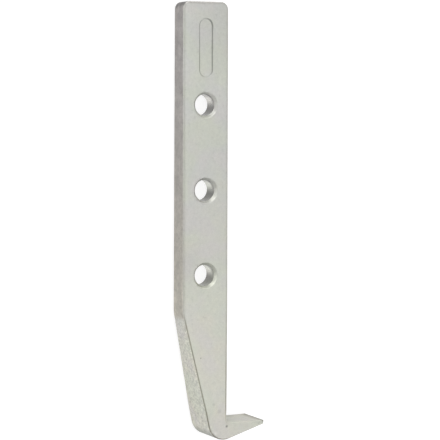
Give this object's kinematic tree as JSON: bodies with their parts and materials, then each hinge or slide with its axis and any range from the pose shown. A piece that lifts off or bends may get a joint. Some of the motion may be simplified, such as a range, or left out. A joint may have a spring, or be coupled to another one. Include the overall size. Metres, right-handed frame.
{
  "type": "puller hook",
  "caption": "Forged puller leg: a flat bar with a row of chamfered cross bores, bent and flared below into a claw with a flat hooking face, a rounded heel and a wedge-shaped toe.",
  "frame": {"origin": "centre of the middle cross bore, halfway through the bar's thickness", "axes": "+X square to the bar towards the toe's tip, +Y along the bar towards its free end, +Z along the cross bores, out of the broad face that carries the blank pad"},
  "size_m": [0.0409, 0.206, 0.0192],
  "materials": {
    "plated_steel": "matt zinc plating over blasted forged steel"
  },
  "bodies": {
    "root": {"hook": "plated_steel"}
  },
  "joints": []
}
